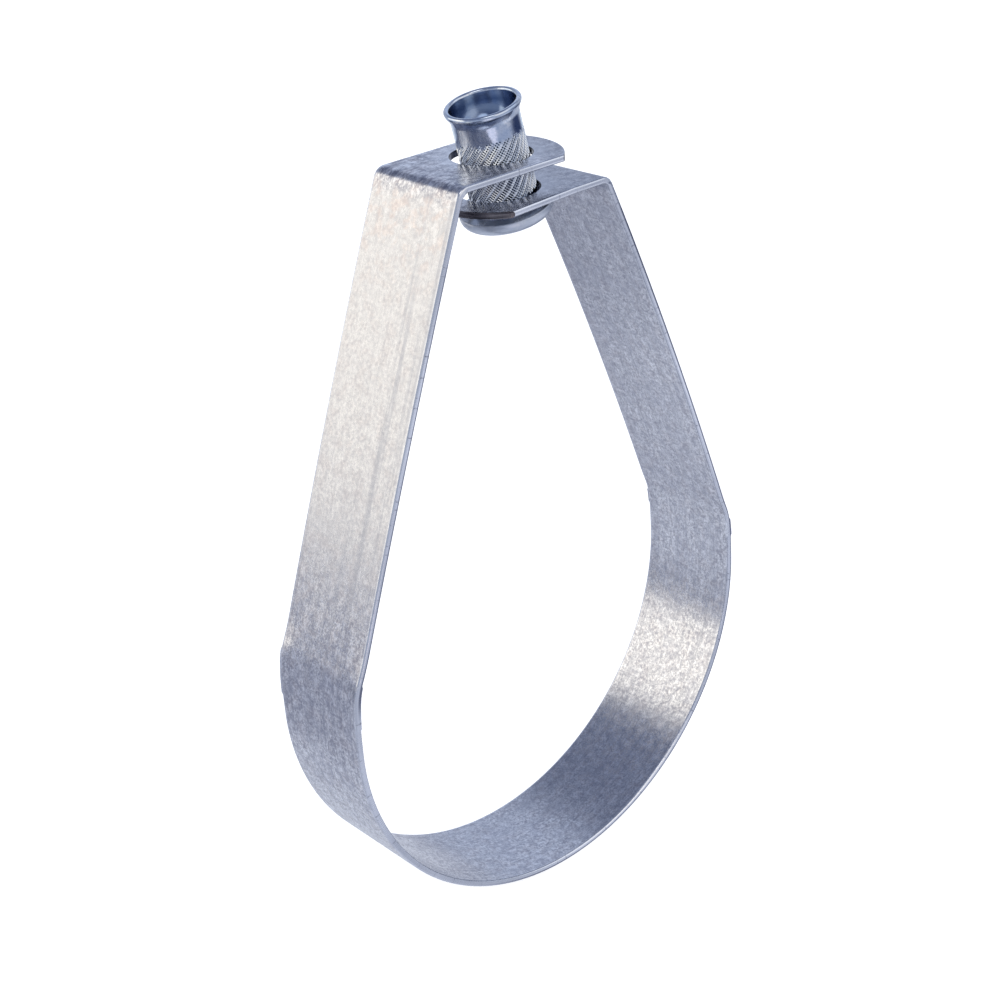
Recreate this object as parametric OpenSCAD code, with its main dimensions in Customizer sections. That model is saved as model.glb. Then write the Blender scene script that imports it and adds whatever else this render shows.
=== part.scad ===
// Swivel ring hanger: one folded strap that rings a pipe, with a flared nut that turns in its two ears
// The pipe runs along Y, Z points up to the rod, and the origin is the centre of the pipe ring.

/* [Pipe ring] */
// Outside diameter of the pipe that the ring carries
pipe_d = 114.3; // [108:0.1:120]
// Gap between the pipe and the ring, on the radius
pipe_gap = 1.6; // [0.5:0.1:3]
// Height of the short upright stretch at each side of the ring
side_rise = 3.8; // [0.4:0.2:6]
// How far round above that stretch the left side goes before its crease, in degrees
left_crease_deg = 10.6; // [8:0.2:12]
// How far round above that stretch the right side goes before its crease, in degrees
right_crease_deg = 9; // [8:0.2:12]

/* [Strap] */
// Width of the strap, along the pipe
strap_w = 27; // [22:0.5:28]
// Thickness of the strap
strap_t = 1.5; // [1:0.1:2]
// Inside radius of the bend between a leg and its ear
bend_r = 1.5; // [0.8:0.1:3]

/* [Legs] */
// Lean of each straight leg from upright, in degrees
leg_deg = 21.25; // [20:0.25:22]
// Lean of the left leg where it leaves its crease, in degrees
left_flare_deg = 28; // [24:0.5:30]
// Length of the curve that takes the left leg from that lean to its straight run
left_flare_l = 9; // [4:0.5:12]
// Lean of the right leg where it leaves its crease, in degrees
right_flare_deg = 26; // [24:0.5:30]
// Length of the curve that takes the right leg from that lean to its straight run
right_flare_l = 7; // [4:0.5:12]

/* [Ears] */
// Height of the lower ear's top face above the pipe's centre
lower_ear_z = 107.4; // [103:0.2:110]
// Gap between the lower ear and the upper one
ear_gap = 6.1; // [4:0.1:8]
// Diameter of the hole through each ear
ear_hole_d = 17.8; // [17.6:0.1:18.6]
// How far the nut stands right of the middle of each hole
hole_shift = 0.9; // [0:0.1:1]
// How far each ear's end lies beyond the centre of its hole
ear_reach = 14.8; // [14:0.2:17]
// Radius of the arc that ends each ear
ear_end_r = 17; // [14.5:0.5:24]

/* [Nut] */
// Lean of the loose nut in the ears' holes towards the left leg, in degrees
nut_lean = 11.9; // [0:0.1:14]
// Where the nut's axis passes the middle of the lower ear, right of the ring's centre
nut_x = 3.1; // [1:0.1:5]
// Diameter of the nut's body along its knurl
knurl_d = 14.8; // [14:0.1:15]
// Depth of the smooth neck below the knurl's diameter, on the radius
neck_step = 0.05; // [0.05:0.05:0.5]
// Diameter of the flared mouth
mouth_d = 16.6; // [15.8:0.1:17]
// Height of the mouth above the middle of the upper ear, along the nut
mouth_h = 12.3; // [11:0.1:16]
// Length of the flare from the mouth down to the neck
flare_h = 3.2; // [2.6:0.1:6]
// Length of the smooth neck between the flare and the knurl
neck_l = 4; // [1:0.1:5]
// Thickness of the wall at the mouth's rim
rim_t = 1.2; // [0.6:0.05:1.3]
// Depth of the bell inside the mouth, down to the thread
funnel_h = 6; // [3:0.1:9]
// Diameter of the flange below the lower ear
flange_d = 20.8; // [20:0.1:24]
// Thickness of the flange
flange_t = 3; // [2.4:0.1:4]
// Radius that rounds the flange's lower edge
flange_round = 2.2; // [0.5:0.1:2.3]
// Play between the flange and the lower ear where they come closest
flange_play = 0.3; // [0.2:0.05:1]
// Diameter of the bore at the thread's crests, for a 3/8 inch rod
bore_d = 8; // [7:0.1:8.6]
// Depth of the small chamfer at the bore's lower end
foot_chamfer = 0.7; // [0.3:0.1:1.2]

/* [Hidden] */
$fn = 96;
// Slack that lets one cut pass clean through another
eps = 0.5;
// How many straight steps draw each bend and flare, and how many each stretch below a crease
bend_steps = 12;
crease_steps = 6;
// How far the folded outline runs into the flat of its ear
lap = 2;

// Ring: its inner face and the strap's middle line
ring_r = pipe_d / 2 + pipe_gap;
ring_mid = ring_r + strap_t / 2;

// Each side of the strap: how far round its crease lies, the lean it leaves with, the length of its flare
left = [left_crease_deg, left_flare_deg, left_flare_l];
right = [right_crease_deg, right_flare_deg, right_flare_l];

// Crease of a side, and the flare above it: an arc that turns to the lean of the straight leg
function crease(side) = [ring_mid * cos(side[0]), side_rise + ring_mid * sin(side[0])];
function flare_mid(side) = side[2] / ((side[1] - leg_deg) * PI / 180);
function flare_c(side) = crease(side) + flare_mid(side) * [cos(side[1]), sin(side[1])];
function leg_foot(side) = flare_c(side) - flare_mid(side) * [cos(leg_deg), sin(leg_deg)];

// Ears: the middle of each sheet, and the centre of its bend at the top of the leg
bend_mid = bend_r + strap_t / 2;
lower_z = lower_ear_z - strap_t / 2;
upper_z = lower_z + ear_gap + strap_t;
function bend_z(ear_z) = ear_z - bend_mid + bend_mid * sin(leg_deg);
function leg_x(side, z) = leg_foot(side)[0] - (z - leg_foot(side)[1]) * tan(leg_deg);
function bend_c(side, ear_z) = [leg_x(side, bend_z(ear_z)) - bend_mid * cos(leg_deg), ear_z - bend_mid];

// Nut: its axis leans from the lower ear's middle, and heights are measured along it from there
function hole_x(ear_z) = nut_x - (ear_z - lower_z) * tan(nut_lean) - hole_shift;
mouth_top = (upper_z - lower_z) / cos(nut_lean) + mouth_h;
flange_r = flange_d / 2;
knurl_r = knurl_d / 2;
neck_r = knurl_r - neck_step;
flange_top = -(strap_t / 2 + flange_play + flange_r * sin(nut_lean)) / cos(nut_lean);
foot_end = flange_top - flange_t;
knurl_top = mouth_top - flare_h - neck_l;

// Points along an arc, from its first angle to its last
function arc(c, r, a0, a1, steps) =
    [for (i = [0:steps]) let (a = a0 + (a1 - a0) * i / steps) c + r * [cos(a), sin(a)]];

// Corner where a face of the ring meets the same face of the flare, off from the middle line
function crease_corner(side, off) =
    let (half_turn = (side[1] - side[0]) / 2, mid_deg = side[0] + half_turn)
    crease(side) + off / cos(half_turn) * [cos(mid_deg), sin(mid_deg)];

// One face of the strap, from the side of the ring up to the ear whose middle is at ear_z
function face(side, off, ear_z) =
    let (bend = bend_c(side, ear_z), last = crease_steps - 1)
    concat(
        [[ring_mid + off, 0]],
        arc([0, side_rise], ring_mid + off, 0, side[0] * last / crease_steps, last),
        [crease_corner(side, off)],
        [for (i = [1:bend_steps])
            let (a = side[1] + (leg_deg - side[1]) * i / bend_steps)
            flare_c(side) - (flare_mid(side) - off) * [cos(a), sin(a)]],
        arc(bend, bend_mid + off, leg_deg, 90, bend_steps),
        [[bend[0] - lap, ear_z + off]]
    );

// One side of the folded strap above the pipe's centre, seen along the pipe and drawn towards +X
module side_outline(side, ear_z) {
    inside = face(side, -strap_t / 2, ear_z);
    outside = face(side, strap_t / 2, ear_z);
    polygon(concat(outside, [for (i = [len(inside) - 1:-1:0]) inside[i]]));
}

// Lower half of the ring, seen along the pipe
module ring_outline() {
    reach = 2 * ring_mid;
    difference() {
        circle(ring_mid + strap_t / 2);
        circle(ring_r);
        translate([-reach, 0]) square(2 * reach);
    }
}

// Outline drawn out to the strap's width, along the pipe
module along_pipe() {
    rotate([90, 0, 0]) linear_extrude(strap_w, center = true) children();
}

// Flat part of an ear, from its bend to its rounded end beyond the hole, pointing towards -X
module ear(side, ear_z, middle) {
    root = bend_c(side, ear_z)[0];
    tip = middle - ear_reach;
    translate([0, 0, ear_z - strap_t / 2]) linear_extrude(strap_t) intersection() {
        translate([tip, -strap_w / 2]) square([root - tip, strap_w]);
        union() {
            translate([tip + ear_end_r, 0]) circle(ear_end_r);
            translate([tip + ear_end_r, -strap_w]) square([root - tip, 2 * strap_w]);
        }
    }
}

// Hole through one ear
module ear_hole(ear_z) {
    translate([hole_x(ear_z), 0, ear_z])
        cylinder(d = ear_hole_d, h = strap_t + 2 * eps, center = true);
}

// The whole strap is one piece: upper ear, left leg, round under the pipe, right leg, lower ear
module strap_band() {
    color([0.72, 0.74, 0.80]) difference() {
        union() {
            along_pipe() {
                ring_outline();
                side_outline(right, lower_z);
                mirror([1, 0]) side_outline(left, upper_z);
            }
            ear(right, lower_z, hole_x(lower_z));
            mirror([1, 0, 0]) ear(left, upper_z, -hole_x(upper_z));
        }
        ear_hole(lower_z);
        ear_hole(upper_z);
    }
}

// Half section of the nut, radius to the right and height upwards
module nut_section() {
    mouth_r = mouth_d / 2;
    bore_r = bore_d / 2;
    lip = rim_t / 2;
    bell_r = mouth_r - rim_t;
    difference() {
        union() {
            polygon([
                [bore_r, flange_top - eps], [knurl_r, flange_top - eps],
                [knurl_r, knurl_top - neck_step], [neck_r, knurl_top],
                [neck_r, mouth_top - flare_h], [mouth_r, mouth_top - 2 * lip],
                [mouth_r, mouth_top - lip], [mouth_r - lip, mouth_top], [bore_r, mouth_top]
            ]);
            translate([bore_r, foot_end]) square([flange_r - flange_round - bore_r, flange_t]);
            translate([bore_r, foot_end + flange_round])
                square([flange_r - bore_r, flange_t - flange_round]);
            translate([flange_r - flange_round, foot_end + flange_round]) intersection() {
                circle(flange_round);
                translate([-flange_round, -flange_round]) square([2 * flange_round, flange_round]);
            }
        }
        polygon(concat(
            [[0, mouth_top - funnel_h]],
            [for (i = [bend_steps:-1:0])
                let (a = 90 * i / bend_steps)
                [bore_r + (bell_r - bore_r) * cos(a), mouth_top - funnel_h * sin(a)]],
            [[bell_r, mouth_top + eps], [0, mouth_top + eps]]
        ));
        polygon([
            [0, foot_end - eps], [bore_r + foot_chamfer + eps, foot_end - eps],
            [bore_r, foot_end + foot_chamfer], [0, foot_end + foot_chamfer]
        ]);
    }
}

// Flared nut, stood on the axis that leans towards the left leg
module swivel_nut() {
    color([0.66, 0.72, 0.84])
        translate([nut_x, 0, lower_z]) rotate([0, -nut_lean, 0])
            rotate_extrude() nut_section();
}

strap_band();
swivel_nut();
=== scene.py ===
import math
import random
import bpy
from mathutils import Matrix, Vector


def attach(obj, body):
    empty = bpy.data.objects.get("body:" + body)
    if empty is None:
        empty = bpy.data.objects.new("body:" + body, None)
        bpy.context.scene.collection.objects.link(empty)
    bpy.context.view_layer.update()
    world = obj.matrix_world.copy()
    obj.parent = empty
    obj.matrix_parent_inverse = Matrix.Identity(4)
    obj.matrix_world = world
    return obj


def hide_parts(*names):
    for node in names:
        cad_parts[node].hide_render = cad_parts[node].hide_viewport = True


# Swivel ring hanger: the folded strap and the knurled nut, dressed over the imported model.
# Lengths are in metres, and X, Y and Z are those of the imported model.
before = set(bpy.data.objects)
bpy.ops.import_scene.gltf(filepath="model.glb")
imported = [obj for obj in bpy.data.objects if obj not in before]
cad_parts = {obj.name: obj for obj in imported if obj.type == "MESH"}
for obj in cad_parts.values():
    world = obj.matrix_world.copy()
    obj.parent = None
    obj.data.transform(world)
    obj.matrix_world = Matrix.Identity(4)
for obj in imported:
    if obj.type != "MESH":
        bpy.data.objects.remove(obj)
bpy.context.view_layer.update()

MM = 0.001
WORN = random.Random(41)

# Strap: the sizes that the model's source gives it
RING_R = 59.5 * MM
STRAP_W = 27 * MM
STRAP_T = 1.5 * MM
BEND_R = 2.25 * MM
LOWER_Z = 106.65 * MM
UPPER_Z = 114.25 * MM
EAR_HOLE_R = 8.9 * MM
HOLE_SHIFT = 0.9 * MM
EAR_REACH = 14.8 * MM
EAR_END_R = 17 * MM

# Each side of the strap as the photograph shows it, angles in degrees of lean from upright: the rise beside
# the ring, the crease, the lean and length of the flare above it, the lean at the foot of the leg, the radius
# of the leg's slight bow, and the height of the ear
LEFT = {"rise": 4.57 * MM, "crease": 10.16, "flare": 29.04, "flare_l": 9.17 * MM, "foot": 20.23,
        "bow_r": 2576 * MM, "ear_z": UPPER_Z}
RIGHT = {"rise": 2.63 * MM, "crease": 8.75, "flare": 27.38, "flare_l": 6.31 * MM, "foot": 19.06,
         "bow_r": 1181 * MM, "ear_z": LOWER_Z}
# How far a crease's own bend reaches to each side of it
CREASE_HALF = 2.6 * MM
# The lower ear sags from its hole's right side to its end
EAR_SAG = math.radians(1.9)
# The strip is scored this far beside each hole, and at these shares of that distance from its middle
SCORE_GAP = 0.6 * MM
LONG_SCORES = (-1.21, -1, -0.6, 0, 0.6, 1, 1.21)
# The slit edges were rolled round over this much of the sheet, and cut edges are broken by less
ROLLED = 0.58 * MM
BROKEN = 0.2 * MM
# The ring eases into the rounder middle of each crease over this length
EASE_L = 18 * MM
# How far the sheet would swell sideways at the inside of a tight bend, where it is squeezed most
SWELL = 0.35 * MM

# Steps that draw each stretch of a side, the half circle under the pipe, the holes and the ears' ends
RISE_STEPS = 2
ARC_STEPS = 5
CREASE_STEPS = 8
FLARE_STEPS = 6
LEG_STEPS = 14
BEND_STEPS = 16
UNDER_STEPS = 96
HOLE_STEPS = 128
END_STEPS = 192
# A stretch that turns by less than this is straight
STRAIGHT = 1e-9

# Nut: the sizes that the model's source gives it, heights along its own axis from the lower ear
NUT_X = 3.1 * MM
NUT_LEAN = math.radians(11.9)
NECK_R = 7.35 * MM
MOUTH_R = 8.3 * MM
MOUTH_TOP = 20.067 * MM
FLARE_H = 3.2 * MM
RIM_T = 1.2 * MM
BELL_H = 6.0 * MM
FLANGE_R = 10.4 * MM
FLANGE_TOP = -3.265 * MM
FLANGE_T = 3 * MM
FLANGE_ROUND = 2.2 * MM
BORE_R = 4 * MM
FOOT_CHAMFER = 0.7 * MM
FOOT_END = FLANGE_TOP - FLANGE_T
# Radius of the flange's upper edge and of the corner above it
SOFTENED = 0.3 * MM
# The flare's outline is a power curve
FLARE_CURVE = 1.7


# Hands: picking, editing and finishing a piece

def take(obj):
    """Leaves one object selected and active."""
    bpy.ops.object.select_all(action="DESELECT")
    obj.select_set(True)
    bpy.context.view_layer.objects.active = obj


def edit(obj, mode="VERT"):
    """Opens a piece for editing with nothing selected."""
    take(obj)
    bpy.ops.object.mode_set(mode="EDIT")
    bpy.ops.mesh.select_mode(type=mode)
    bpy.ops.mesh.select_all(action="DESELECT")


def pick(obj, wanted):
    """Selects the points of an open piece whose place is wanted."""
    bpy.ops.mesh.select_all(action="DESELECT")
    bpy.ops.object.mode_set(mode="OBJECT")
    for point in obj.data.vertices:
        point.select = wanted(point.co)
    bpy.ops.object.mode_set(mode="EDIT")


def close():
    bpy.ops.object.mode_set(mode="OBJECT")


def face_outwards():
    """Turns every face of an open piece outwards."""
    bpy.ops.mesh.select_all(action="SELECT")
    bpy.ops.mesh.normals_make_consistent(inside=False)


def shape_with(obj, kind, **settings):
    """Adds a modifier and applies it at once."""
    take(obj)
    modifier = obj.modifiers.new(kind.lower(), kind)
    for name, value in settings.items():
        setattr(modifier, name, value)
    bpy.ops.object.modifier_apply(modifier=modifier.name)


def cut_with(obj, tool):
    """Cuts a piece with a tool, then throws the tool away."""
    shape_with(obj, "BOOLEAN", operation="DIFFERENCE", object=tool, solver="EXACT")
    bpy.data.objects.remove(tool)


def push(shift):
    bpy.ops.mesh.extrude_region_move(TRANSFORM_OT_translate={"value": shift})


def named(obj, name):
    obj.name = name
    obj.data.name = name
    return obj


# The strap's middle line, as straight runs and bends

def toward(angle):
    return Vector((math.cos(angle), math.sin(angle)))


def walk(point, lean, length, turn):
    """Where a stretch of the middle line ends: it starts at a lean from upright and turns as it climbs."""
    if abs(turn) < STRAIGHT:
        return point + length * Vector((-math.sin(lean), math.cos(lean)))
    radius = length / turn
    centre = point - radius * toward(lean)
    return centre + radius * toward(lean + turn)


def side_stretches(side, tip_x):
    """One side, from the ring up to the ear's end: the start, lean, length, turn and steps of each part."""
    crease, flare, foot = (math.radians(side[name]) for name in ("crease", "flare", "foot"))
    corner = (flare - crease) / 2
    flare_rate = (foot - flare) / side["flare_l"]
    ring_l = RING_R * crease - CREASE_HALF
    crease_l = 2 * CREASE_HALF * corner / math.tan(corner)
    crease_turn = flare + flare_rate * CREASE_HALF - ring_l / RING_R
    flare_l = side["flare_l"] - CREASE_HALF
    here = Vector((RING_R, 0))
    lean = 0.0
    stretches = []

    def climb(length, turn, steps):
        nonlocal here, lean
        stretches.append((here, lean, length, turn, steps))
        here = walk(here, lean, length, turn)
        lean += turn

    climb(side["rise"], 0.0, RISE_STEPS)
    climb(ring_l, ring_l / RING_R, ARC_STEPS)
    climb(crease_l, crease_turn, CREASE_STEPS)
    climb(flare_l, flare_rate * flare_l, FLARE_STEPS)
    # The bowed leg climbs until a bend of its radius brings the strap level with its ear
    centre_z = here.y - side["bow_r"] * math.sin(lean)
    top = math.asin((side["ear_z"] - BEND_R - centre_z) / (side["bow_r"] - BEND_R))
    climb(side["bow_r"] * (top - lean), top - lean, LEG_STEPS)
    climb(BEND_R * (math.pi / 2 - top), math.pi / 2 - top, BEND_STEPS)
    stretches.append((here, lean, here.x - tip_x, 0.0, 1))
    return stretches


def hole_x(height):
    return NUT_X - (height - LOWER_Z) * math.tan(NUT_LEAN) - HOLE_SHIFT


upper_hole_x = hole_x(UPPER_Z)
lower_hole_x = hole_x(LOWER_Z)
upper_tip = upper_hole_x + EAR_REACH
lower_tip = lower_hole_x - EAR_REACH
left_side = side_stretches(LEFT, -upper_tip)
right_side = side_stretches(RIGHT, lower_tip)


def side_points(stretches):
    points = [stretches[0][0]]
    for start, lean, length, turn, steps in stretches:
        points += [walk(start, lean, length * i / steps, turn * i / steps) for i in range(1, steps + 1)]
    return points


def middle_points():
    """Points of the middle line, from the upper ear's end round under the pipe to the lower ear's end."""
    down = [Vector((-point.x, point.y)) for point in reversed(side_points(left_side))]
    under = []
    for i in range(1, UNDER_STEPS):
        under.append(RING_R * toward(math.pi * (1 + i / UNDER_STEPS)))
    return down + under + side_points(right_side)


def middle_stretches():
    """The same line as its runs and bends, each with how far along the strip it starts."""
    parts = []
    for start, lean, length, turn, _ in reversed(left_side):
        parts.append((walk(start, lean, length, turn), start, math.pi - lean - turn, length, turn, -1))
    parts.append((None, None, math.pi, math.pi * RING_R, math.pi, 0))
    for start, lean, length, turn, _ in right_side:
        parts.append((start, walk(start, lean, length, turn), lean, length, turn, 1))
    stretches = []
    along = 0.0
    for first, last, angle, length, turn, hand in parts:
        if abs(turn) < STRAIGHT:
            ends = [Vector((point.x * hand, point.y)) for point in (first, last)]
            stretches.append(("run", along, ends[0], ends[1], length))
        else:
            radius = length / turn
            centre = Vector((0, 0))
            if hand:
                centre = Vector((first.x * hand, first.y)) - radius * toward(angle)
            stretches.append(("bend", along, centre, radius, (angle, turn)))
        along += length
    return stretches


def spot_on_strip(stretches, x, z):
    """How far along the strip a point lies, and how far outside its middle line."""
    point = Vector((x, z))
    best = None
    for kind, along, a, b, extent in stretches:
        if kind == "run":
            heading = (b - a) / extent
            reach = min(max((point - a).dot(heading), 0.0), extent)
            gap = (point - a - heading * reach).length
            outside = (point - a).dot(Vector((heading.y, -heading.x)))
        else:
            first, turn = extent
            hand = 1 if b > 0 else -1
            arm = (point - a) * hand
            middle = first + turn / 2
            off = (math.atan2(arm.y, arm.x) - middle + math.pi) % (2 * math.pi) - math.pi
            off = min(max(off, -abs(turn) / 2), abs(turn) / 2)
            gap = (point - (a + b * toward(middle + off))).length
            reach = (off * hand + abs(turn) / 2) * abs(b)
            outside = arm.length * hand - b
        if best is None or gap < best[0]:
            best = (gap, along + reach, outside)
    return best[1], best[2]


# The strap: one strip folded round, then drilled and rounded off

def rod_tool(x, z, radius, steps):
    """An upright rod, long enough to pass through an ear."""
    bpy.ops.mesh.primitive_cylinder_add(vertices=steps, radius=radius, depth=6 * MM, location=(x, 0, z))
    return bpy.context.object


def round_ear_end(strap, arc_x, height, heading):
    """Takes off what lies beyond the arc that ends an ear."""
    reach = EAR_END_R + 2 * MM
    block = (reach, 40 * MM, 5 * MM)
    bpy.ops.mesh.primitive_cube_add(size=1, location=(arc_x + heading * reach / 2, 0, height), scale=block)
    corner = bpy.context.object
    cut_with(corner, rod_tool(arc_x, height, EAR_END_R, END_STEPS))
    cut_with(strap, corner)


def score_ear(strap, middle, height):
    """Scores an ear round the place of its hole, so that the hole is cut in small faces."""
    side = EAR_HOLE_R + SCORE_GAP
    for across in (-side, 0, side):
        pick(strap, lambda co: abs(co.z - height) < 1e-6)
        bpy.ops.mesh.bisect(plane_co=(middle + across, 0, height), plane_no=(1, 0, 0))


def fold_strip():
    """Folds the strip from the upper ear's end, round under the pipe and up to the lower ear's end."""
    bpy.ops.object.select_all(action="DESELECT")
    points = middle_points()
    flat = points[0].x - points[1].x
    bpy.ops.mesh.primitive_plane_add(size=1, location=(0, 0, 0))
    strap = named(bpy.context.object, "folded_strap")
    edit(strap)
    bpy.ops.mesh.select_all(action="SELECT")
    bpy.ops.transform.resize(value=(flat, STRAP_W, 1))
    bpy.ops.transform.translate(value=(points[1].x + flat / 2, 0, UPPER_Z))
    pick(strap, lambda co: co.x < points[1].x + MM)
    for here, there in zip(points[1:], points[2:]):
        push((there.x - here.x, 0, there.y - here.y))
    for share in LONG_SCORES:
        bpy.ops.mesh.select_all(action="SELECT")
        bpy.ops.mesh.bisect(plane_co=(0, share * (EAR_HOLE_R + SCORE_GAP), 0), plane_no=(0, 1, 0))
    score_ear(strap, upper_hole_x, UPPER_Z)
    score_ear(strap, lower_hole_x, LOWER_Z)
    close()
    return strap


def ease_crease(strap, side, stretches, hand):
    """Gives the middle of the strip a rounder bend at a crease than its edges have, as the press left it."""
    bend_z = stretches[2][0].y
    bend_h = stretches[3][0].y - bend_z
    flare_h = stretches[4][0].y - stretches[3][0].y
    slope = math.tan(math.radians(side["flare"] - side["foot"]))
    for point in strap.data.vertices:
        above = point.co.z - bend_z
        if point.co.x * hand < 0 or not -EASE_L < above < bend_h + flare_h:
            continue
        if above > bend_h:
            dish = slope * flare_h / 2 * (1 - (above - bend_h) / flare_h) ** 2
        elif above > 0:
            dish = slope * (flare_h + bend_h * (1 - (above / bend_h) ** 2)) / 2
        else:
            part = above / EASE_L
            dish = slope * (flare_h + bend_h) / 2 * (1 + part) ** 2 * (1 - 2 * part)
        middle = 1 - (2 * point.co.y / STRAP_W) ** 4
        point.co.x -= hand * dish * middle


def roll_slit_edges(strap):
    """Rounds the long edges of the sheet, which run along its two sides."""
    edit(strap, "EDGE")
    face_outwards()
    bpy.ops.mesh.select_all(action="DESELECT")
    bpy.ops.mesh.edges_select_sharp(sharpness=math.radians(60))
    close()
    for line in strap.data.edges:
        first, last = (strap.data.vertices[i].co.y for i in line.vertices)
        at_side = abs(abs(first) - STRAP_W / 2) < 0.1 * MM
        line.select = line.select and at_side and abs(first - last) < 0.1 * MM
    take(strap)
    bpy.ops.object.mode_set(mode="EDIT")
    bpy.ops.mesh.bevel(offset=ROLLED, segments=5, affect="EDGES")
    close()


def make_strap():
    strap = fold_strip()
    ease_crease(strap, LEFT, left_side, -1)
    ease_crease(strap, RIGHT, right_side, 1)
    shape_with(strap, "SOLIDIFY", thickness=STRAP_T, offset=0, use_even_offset=True)
    roll_slit_edges(strap)
    cut_with(strap, rod_tool(upper_hole_x, UPPER_Z, EAR_HOLE_R, HOLE_STEPS))
    cut_with(strap, rod_tool(lower_hole_x, LOWER_Z, EAR_HOLE_R, HOLE_STEPS))
    round_ear_end(strap, upper_tip - EAR_END_R, UPPER_Z, 1)
    round_ear_end(strap, lower_tip + EAR_END_R, LOWER_Z, -1)
    shape_with(strap, "BEVEL", width=BROKEN, segments=3, limit_method="ANGLE", angle_limit=math.radians(40))
    lay_strip_map(strap)
    sag_lower_ear(strap)
    take(strap)
    bpy.ops.object.shade_smooth_by_angle(angle=math.radians(35))
    shape_with(strap, "WEIGHTED_NORMAL", keep_sharp=True)
    return strap


def sag_lower_ear(strap):
    """Turns the lower ear down a little from the right side of its hole to its end."""
    hinge_x = lower_hole_x + EAR_HOLE_R + SCORE_GAP

    def on_ear(co):
        return co.x < hinge_x - 0.01 * MM and co.x > lower_tip - MM and abs(co.z - LOWER_Z) < MM

    edit(strap)
    pick(strap, on_ear)
    bpy.ops.transform.rotate(value=EAR_SAG, orient_axis="Y", center_override=(hinge_x, 0, LOWER_Z))
    close()


def lay_strip_map(strap):
    """Lays two maps on the strap: how far along and across the strip, and how far outside its middle line."""
    stretches = middle_stretches()
    spots = [spot_on_strip(stretches, point.co.x, point.co.z) for point in strap.data.vertices]
    strip = strap.data.uv_layers.new(name="strip")
    sheet = strap.data.uv_layers.new(name="sheet")
    for loop in strap.data.loops:
        along, outside = spots[loop.vertex_index]
        strip.data[loop.index].uv = (along, strap.data.vertices[loop.vertex_index].co.y)
        sheet.data[loop.index].uv = (outside, 0)
    for kind, start, _, radius, extent in stretches:
        if kind == "bend" and abs(radius) < 2 * BEND_R:
            swell_bend(strap, spots, start, abs(radius * extent[1]))


def swell_bend(strap, spots, start, length):
    """Lets the sheet swell sideways where a tight bend squeezes its inner face."""
    for point, (along, outside) in zip(strap.data.vertices, spots):
        part = (along - start) / length
        if 0 < part < 1 and outside < 0:
            squeezed = math.sin(math.pi * part) * -2 * outside / STRAP_T
            at_side = abs(2 * point.co.y / STRAP_W) ** 9
            point.co.y += math.copysign(SWELL * squeezed * at_side, point.co.y)


strap = make_strap()


# The nut: turned ring by ring, flared, knurled and tapped

KNURL_COLUMNS = 132
KNURL_ROW = 0.40 * MM
KNURL_CREST = 0.05 * MM
KNURL_VALLEY = 0.22 * MM
KNURL_TOP = 14.5 * MM
KNURL_FOOT = 0.2 * MM
KNURL_LEVELS = (0.25, 0.5, 0.75, 1.0)
# Each crest ends in a small flat
CREST_FLAT = 0.07 * MM
# Every third line of the knurl was pressed less deep
BOLD_LINE = 3
BOLD_DEPTH = 0.25
# The flare has pressed the knurl's top flat, from a ragged line that wanders round the nut
PRESSED_FROM = 13.2 * MM
PRESSED_WANDER = 1.0 * MM
PRESSED_TURN = 2.0
PRESSED_RAGGED = 0.5
PRESSED_RUN = 1.4 * MM
THREAD_PITCH = 25.4 / 16 * MM
THREAD_DEPTH = 0.8 * MM
THREAD_TURNS = 18
THREAD_STEPS = 48


def arc_rings(radius, height, size, first, last, steps):
    """Rings of a rounded edge: radius and height of its centre, its size, and its angles in the section."""
    rings = []
    for i in range(steps + 1):
        angle = math.radians(first + (last - first) * i / steps)
        rings.append((radius + size * math.cos(angle), height + size * math.sin(angle)))
    return rings


def outside_rings():
    """From the foot of the bore, out round the flange, up the body and out to the mouth's rim."""
    rings = [(BORE_R + FOOT_CHAMFER, FOOT_END), (FLANGE_R - FLANGE_ROUND - 1.2 * MM, FOOT_END)]
    rings += arc_rings(FLANGE_R - FLANGE_ROUND, FOOT_END + FLANGE_ROUND, FLANGE_ROUND, -90, 0, 10)
    rings += arc_rings(FLANGE_R - SOFTENED, FLANGE_TOP - SOFTENED, SOFTENED, 0, 90, 4)
    rings += arc_rings(NECK_R + SOFTENED, FLANGE_TOP + SOFTENED, SOFTENED, 270, 180, 3)
    height = KNURL_FOOT - 3 * KNURL_ROW
    while height < KNURL_TOP + KNURL_ROW:
        rings.append((NECK_R, height))
        height += KNURL_ROW
    first = MOUTH_TOP - FLARE_H
    last = MOUTH_TOP - 0.8 * RIM_T
    widest = MOUTH_R - 0.05 * MM
    steps = 8
    for i in range(steps + 1):
        part = i / steps
        rings.append((NECK_R + (widest - NECK_R) * part ** FLARE_CURVE, first + (last - first) * part))
    return rings


def inside_rings():
    """From the rim down the bell and the bore."""
    lip = RIM_T / 2
    rings = arc_rings(MOUTH_R - lip, MOUTH_TOP - lip, lip, -20, 180, 10)
    bell_r = MOUTH_R - RIM_T
    steps = 12
    for i in range(1, steps + 1):
        angle = math.pi / 2 * i / steps
        height = MOUTH_TOP - lip - (BELL_H - lip) * math.sin(angle)
        rings.append((BORE_R + (bell_r - BORE_R) * math.cos(angle), height))
    rings.append((BORE_R, FOOT_END + FOOT_CHAMFER))
    return rings


def knurl_spot(co):
    """Row and column of a point of the knurled band, before the nut is stood in place."""
    row = round((co.z - KNURL_FOOT) / KNURL_ROW)
    column = round(math.atan2(co.y, co.x) / (2 * math.pi / KNURL_COLUMNS)) % KNURL_COLUMNS
    return row, column


def on_body(co):
    inside = abs(math.hypot(co.x, co.y) - NECK_R) < 1e-5
    return inside and KNURL_FOOT - KNURL_ROW < co.z < KNURL_TOP + 0.5 * KNURL_ROW


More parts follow.
